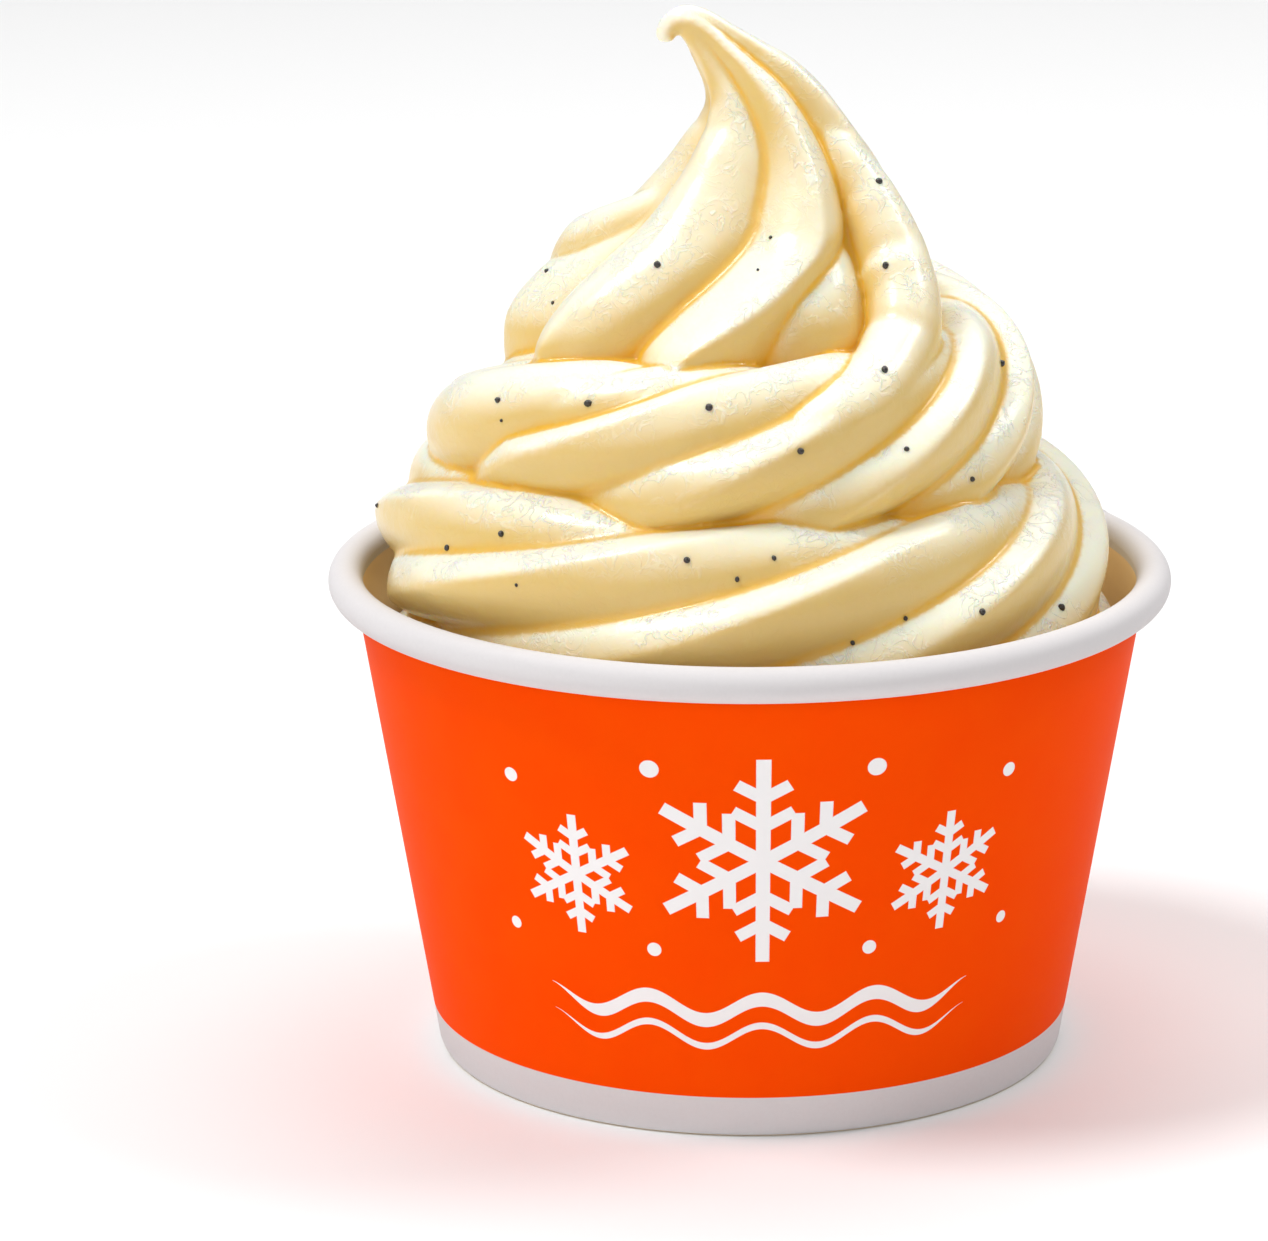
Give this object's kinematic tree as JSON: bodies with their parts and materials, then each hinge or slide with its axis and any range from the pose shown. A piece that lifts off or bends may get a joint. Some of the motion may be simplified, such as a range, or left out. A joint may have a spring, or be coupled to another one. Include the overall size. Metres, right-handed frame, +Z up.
{
  "type": "frozen yogurt cup",
  "caption": "Paper cup filled with a piped swirl of speckled frozen yogurt that rises in a coil to a curled tip.",
  "frame": {"origin": "centre of the cup's foot, on the surface it stands on", "axes": "+Z up along the cup's axis, -Y towards the viewer of the picture, +X to the viewer's right"},
  "size_m": [0.095, 0.095, 0.1208],
  "materials": {
    "printed_paper": "coated board printed orange, with a white rolled rim and foot",
    "plain_paper": "coated white board",
    "frozen_yogurt": "soft, slightly wet vanilla frozen yogurt with black specks"
  },
  "bodies": {
    "root": {"cup_wall": "printed_paper", "cup_bottom": "plain_paper", "frozen_yogurt": "frozen_yogurt"}
  },
  "joints": []
}
